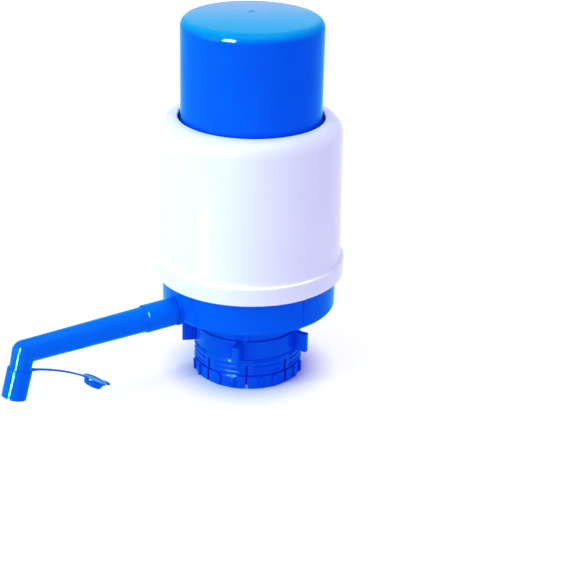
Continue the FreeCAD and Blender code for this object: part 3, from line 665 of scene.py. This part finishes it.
# soft sleeve over the nozzle, with a shallow groove near its mouth
sleeve = {"radius": 6.6 * mm, "grip": 12.0 * mm, "overhang": 3.8 * mm, "mouth": 6.0 * mm,
          "nozzle": 5.7 * mm, "lead": 1.4 * mm, "leadIn": 0.1 * mm, "groove": 0.18 * mm,
          "grooveStart": 1.6 * mm, "grooveStep": 0.4 * mm, "around": 96}
grip, over, step = sleeve["grip"], sleeve["overhang"], sleeve["grooveStep"]
grooved = sleeve["radius"] - sleeve["groove"]
sleeveCorners = [
    (sleeve["nozzle"], -grip, 0.1 * mm), (sleeve["radius"] - sleeve["leadIn"], -grip, 0.45 * mm),
    (sleeve["radius"], -grip + sleeve["lead"], 0.4 * mm),
    (sleeve["radius"], over - sleeve["grooveStart"], 0.5 * mm),
    (grooved, over - sleeve["grooveStart"] + step, 0.3 * mm),
    (grooved, over - sleeve["grooveStart"] + 2 * step, 0.3 * mm),
    (sleeve["radius"], over - sleeve["grooveStart"] + 3 * step, 0.2 * mm),
    (sleeve["radius"], over, 0.2 * mm), (sleeve["mouth"], over, 0.2 * mm),
    (sleeve["mouth"], 0), (sleeve["nozzle"], 0)]
dress(lathed("nozzleSleeve", sleeveCorners, sleeve["around"], nozzlePlace), "sleeveBlue",
      "spout", "nozzle_sleeve")

# plug, drawn seated in the mouth and then swung open
plug = {"radius": 5.9 * mm, "taper": 1.1 * mm, "depth": 3.1 * mm, "flange": 1.0 * mm,
        "edge": 6.6 * mm, "hollow": 3.6 * mm, "hollowDepth": 1.6 * mm, "hollowTaper": 0.6 * mm,
        "neck": 0.2 * mm, "gap": 0.06 * mm, "rim": 1.5 * mm, "rimSlope": 0.3 * mm,
        "dish": 0.25 * mm, "around": 96}
plugTop = over + plug["flange"]
plugTip = over - plug["depth"]
plugHollow = plugTip + plug["hollowDepth"]
plugUnder = over + plug["gap"]                 # underside of the flange
plugDish = plugTop - plug["dish"]
plugCorners = [
    (0, plugHollow), (plug["hollow"] - plug["hollowTaper"], plugHollow, 0.5 * mm),
    (plug["hollow"], plugTip, 0.35 * mm), (plug["radius"] - plug["taper"], plugTip, 0.55 * mm),
    (plug["radius"], over - plug["neck"], 0.4 * mm), (plug["radius"], plugUnder),
    (plug["edge"], plugUnder, 0.2 * mm), (plug["edge"], plugTop, 0.4 * mm),
    (plug["edge"] - plug["rim"], plugTop, 0.3 * mm),
    (plug["edge"] - plug["rim"] - plug["rimSlope"], plugDish, 0.3 * mm), (0, plugDish)]
plugDisc = lathed("spoutPlug", plugCorners, plug["around"])

# finger tab; its root is a share of the flange's radius, its tip a share of a half circle
tab = {"root": 0.55, "tip": 0.8, "reach": 10.1 * mm, "width": 5.0 * mm, "steps": 8,
       "edge": 0.22 * mm, "edgeSteps": 3}


def tabPlate(name, sizes, bottom, thick):
    mesh = bmesh.new()
    half = sizes["width"] / 2
    curve = half * sizes["tip"]
    start, end = plug["edge"] * sizes["root"], sizes["reach"] - curve
    outline = [(start, -half), (end, -half)]
    for step in range(1, sizes["steps"]):
        angle = -math.pi / 2 + math.pi * step / sizes["steps"]
        outline.append((end + curve * math.cos(angle), half * math.sin(angle)))
    outline += [(end, half), (start, half)]
    base = mesh.faces.new([mesh.verts.new((x, y, bottom)) for x, y in outline])
    lifted = bmesh.ops.extrude_face_region(mesh, geom=[base])["geom"]
    tops = [item for item in lifted if isinstance(item, bmesh.types.BMVert)]
    bmesh.ops.translate(mesh, verts=tops, vec=(0, 0, thick))
    made = wrapUp(name, mesh)
    bevel = made.modifiers.new("edges", "BEVEL")
    bevel.width = sizes["edge"]
    bevel.segments = sizes["edgeSteps"]
    bevel.limit_method = "ANGLE"
    return settle(made)


tabPiece = tabPlate("plugTab", tab, plugUnder, plug["flange"] - 2 * plug["gap"])

# grip bars across the tab, in a row
tabBars = {"count": 3, "pitch": 0.9 * mm, "start": 7.4 * mm, "sink": 0.1 * mm,
           "size": (0.5 * mm, 3.6 * mm, 0.5 * mm), "segments": 16, "rings": 9}
barTree = Tree("gripBars", {
    "Count": "NodeSocketInt", "Pitch": "NodeSocketVector", "Start": "NodeSocketVector",
    "Size": "NodeSocketVector", "Finish": "NodeSocketMaterial"})
row = barTree.node("GeometryNodeMeshLine", {}, {
    "Count": barTree.size("Count"), "Start Location": barTree.size("Start"),
    "Offset": barTree.size("Pitch")})
bead = barTree.node("GeometryNodeMeshUVSphere", {}, {
    "Segments": tabBars["segments"], "Rings": tabBars["rings"], "Radius": 0.5})
shaped = barTree.node("GeometryNodeTransform", {}, {
    "Geometry": bead.outputs[0], "Scale": barTree.size("Size")})
placed = barTree.node("GeometryNodeInstanceOnPoints", {}, {
    "Points": row.outputs[0], "Instance": shaped.outputs[0]})
barTree.finish(placed.outputs[0])
bars = barTree.grow("tabBars", {
    "Count": tabBars["count"], "Pitch": (tabBars["pitch"], 0, 0),
    "Start": (tabBars["start"], 0, plugTop - tabBars["sink"]),
    "Size": tabBars["size"], "Finish": paint["sleeveBlue"]})


def joined(name, parts, place):
    mesh = bmesh.new()
    for part in parts:
        mesh.from_mesh(part.data)
        bpy.data.objects.remove(part)
    return wrapUp(name, mesh, place)


plugPiece = joined("spoutPlugTab", [plugDisc, tabPiece, bars], opened @ nozzlePlace)
dress(plugPiece, "sleeveBlue", "stopper", "spout_plug")

# strap of the plug: its waist is the share `thin` of the width, reached after the flare
strap = {"width": 4.0 * mm, "thick": 0.72 * mm, "steps": 40, "thin": 0.5, "flare": 0.12,
         "sides": 16, "flatSides": 0.35, "flatFaces": 0.6, "endIn": 0.1 * mm,
         "endSink": 0.45 * mm}
rootLow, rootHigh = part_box("strap_root")
tailLow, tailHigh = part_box("strap_tail")


def strapMesh(name, sizes):
    # a narrow ribbon swept along one smooth bow, flared at its ends
    first = Vector((rootLow.x + sizes["endIn"], 0, rootHigh.z - sizes["endSink"]))
    last = Vector((tailHigh.x - sizes["endIn"], 0, tailLow.z + sizes["endSink"]))
    middle = Vector(((rootHigh.x + tailLow.x) / 2, 0, (rootLow.z + tailHigh.z) / 2))
    bend = middle * 2 - (first + last) / 2
    mesh = bmesh.new()
    loops = []
    for step in range(sizes["steps"] + 1):
        share = step / sizes["steps"]
        here = first.lerp(bend, share).lerp(bend.lerp(last, share), share)
        way = (bend - first).lerp(last - bend, share).normalized()
        up = way.cross(sideWay).normalized()
        inward = min(1, min(share, 1 - share) / sizes["flare"])
        waist = 1 - (1 - sizes["thin"]) * inward * inward * (3 - 2 * inward)
        half, thick = sizes["width"] / 2 * waist, sizes["thick"] / 2
        loop = []
        for corner in range(sizes["sides"]):
            angle = 2 * math.pi * corner / sizes["sides"]
            side, rise = math.cos(angle), math.sin(angle)
            side = math.copysign(abs(side) ** sizes["flatSides"], side) * half
            rise = math.copysign(abs(rise) ** sizes["flatFaces"], rise) * thick
            loop.append(mesh.verts.new(here + sideWay * side + up * rise))
        loops.append(loop)
    for loop, other in zip(loops, loops[1:]):
        for corner in range(sizes["sides"]):
            following = (corner + 1) % sizes["sides"]
            mesh.faces.new((loop[corner], loop[following], other[following], other[corner]))
    mesh.faces.new(loops[0])
    mesh.faces.new(loops[-1][::-1])
    return wrapUp(name, mesh), first, last


strapPiece, strapStart, strapEnd = strapMesh("capStrap", strap)
dress(strapPiece, "sleeveBlue", None)
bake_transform(strapPiece)
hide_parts("strap_root", "strap_tail")
print("sleeve, plug and strap done")

# floor, world, lamps and camera; lengths in metres, measured from the pump's axis
studio = {
    "background": (1, 1, 1, 1), "ambient": (0.54, 0.45, 0.98, 1), "ambientLevel": 0.88,
    "floorSize": 4.0, "floorDrop": 0.0002, "paper": (0.93, 0.93, 0.94, 1),
    "paperPale": (0.96, 0.96, 0.96, 1), "glow": 1.12,
    "floorNear": 0.042, "floorFar": 0.28, "floorLift": 0.70, "foot": 0.031, "footSoft": 0.02,
    # the blue under the foot is a painted glow
    "footInside": 0.027, "insideSoft": 0.002, "paintedFootGlow": (0.012, 0.012, 0.42, 1),
}


def makeFloor():
    # the floor keeps the pump's shadow near the foot and fades into the background
    mesh = bmesh.new()
    bmesh.ops.create_grid(mesh, x_segments=1, y_segments=1, size=studio["floorSize"])
    made = wrapUp("floorSheet", mesh, Matrix.Translation((0, 0, -studio["floorDrop"])), False)
    material, graph = newMaterial("floorPaper")
    place = graph.add("ShaderNodeTexCoord", {}, {}, "Object")
    away = graph.add("ShaderNodeVectorMath", {"operation": "LENGTH"}, {0: place}, "Value")
    far = ((away - studio["floorNear"]) / (studio["floorFar"] - studio["floorNear"])).clamp()
    far = far * (1.0 - studio["floorLift"]) + studio["floorLift"]
    far = far * ((away - studio["foot"]) / studio["footSoft"]).clamp()
    colour = graph.mixColour(graph.pattern("paperGrain"), studio["paper"], studio["paperPale"])
    paper = graph.add("ShaderNodeBsdfDiffuse", {}, {"Color": colour})
    # painted light: inside the foot the floor glows blue for camera and gloss rays, standing in for light that
    # comes through the blue wall
    footGlowMask = ((studio["footInside"] - away) / studio["insideSoft"]).clamp()
    tint = graph.mixColour(footGlowMask, studio["background"], studio["paintedFootGlow"])
    glow = graph.add("ShaderNodeEmission", {}, {"Color": tint, "Strength": studio["glow"]})
    share = graph.backdropRays() * (far + footGlowMask).clamp()
    mixed = graph.add("ShaderNodeMixShader", {}, {0: share, 1: paper, 2: glow})
    graph.node("ShaderNodeOutputMaterial", {}, {"Surface": mixed})
    made.data.materials.append(material)


def makeWorld():
    world = bpy.data.worlds.new("studioWorld")
    bpy.context.scene.world = world
    world.use_nodes = True
    graph = Graph(world.node_tree)
    seen = graph.backdropRays()
    colour = graph.mixColour(seen, studio["ambient"], studio["background"])
    level = studio["ambientLevel"] + seen * (1.0 - studio["ambientLevel"])
    back = graph.add("ShaderNodeBackground", {}, {"Color": colour, "Strength": level})
    graph.node("ShaderNodeOutputWorld", {}, {"Surface": back})


# azimuth and elevation of each lamp in degrees, its distance and sizes in metres, its watts
lamps = {
    "strip": {"az": -161, "el": 28, "far": 1.2, "size": 0.36, "tall": 0.60, "watts": 300,
              "colour": (1.0, 1.0, 1.0), "glossOnly": True},
    "nozzle": {"aim": (-0.147, -0.0038, 0.0355), "az": -165.5, "el": -5.5, "far": 0.045,
               "size": 0.0125, "tall": 0.024, "watts": 0.24, "colour": (1.0, 1.0, 1.0),
               "glossOnly": True},
    "key": {"az": -164, "el": 48, "far": 1.2, "size": 0.11, "watts": 3.6,
            "colour": (0.88, 1.0, 0.55)},
    "side": {"az": 168, "el": 14, "far": 1.1, "size": 0.75, "watts": 6.4,
             "colour": (0.60, 1.0, 0.42)},
    "over": {"az": -60, "el": 84, "far": 1.4, "size": 1.2, "watts": 8.4,
             "colour": (0.82, 1.0, 0.55)},
    "back": {"az": 56, "el": 4, "far": 1.2, "size": 0.9, "watts": 3.6,
             "colour": (0.60, 1.0, 0.42), "diffuseOnly": True},
}
middleOfPump = (0, 0, 0.1)                     # what a lamp without an aim looks at


def makeLamps():
    for name, lamp in lamps.items():
        az, el = math.radians(lamp["az"]), math.radians(lamp["el"])
        way = Vector((math.cos(az) * math.cos(el), math.sin(az) * math.cos(el), math.sin(el)))
        data = bpy.data.lights.new(name + "Lamp", "AREA")
        data.shape = "RECTANGLE" if "tall" in lamp else "DISK"
        data.size = lamp["size"]
        data.size_y = lamp.get("tall", lamp["size"])
        data.energy = lamp["watts"]
        data.color = lamp["colour"]
        made = bpy.data.objects.new(name + "Lamp", data)
        made.location = Vector(lamp.get("aim", middleOfPump)) + way * lamp["far"]
        made.rotation_euler = way.to_track_quat("Z", "Y").to_euler()
        made.visible_diffuse = not lamp.get("glossOnly", False)
        made.visible_glossy = not lamp.get("diffuseOnly", False)
        made.visible_camera = False
        bpy.context.scene.collection.objects.link(made)


view = {
    "place": (-0.43521, -0.63778, 0.40443), "ahead": (0.53315, 0.73519, -0.41862),
    "right": (0.81600, -0.57752, 0.02500), "up": (0.22338, 0.35493, 0.90782),
    "lens": 94.371, "sensor": 36.0, "nearest": 0.01, "farthest": 50.0,
}


def makeCamera():
    data = bpy.data.cameras.new("studioCamera")
    data.sensor_width = view["sensor"]
    data.lens = view["lens"]
    data.clip_start = view["nearest"]
    data.clip_end = view["farthest"]
    made = bpy.data.objects.new("studioCamera", data)
    right, up, ahead = (Vector(view[key]).normalized() for key in ("right", "up", "ahead"))
    turn = Matrix((right, up, -ahead)).transposed().to_4x4()
    made.matrix_world = Matrix.Translation(view["place"]) @ turn
    bpy.context.scene.collection.objects.link(made)
    bpy.context.scene.camera = made


makeFloor()
makeWorld()
makeLamps()
makeCamera()
bpy.context.scene.view_settings.view_transform = "Standard"
print("studio done")
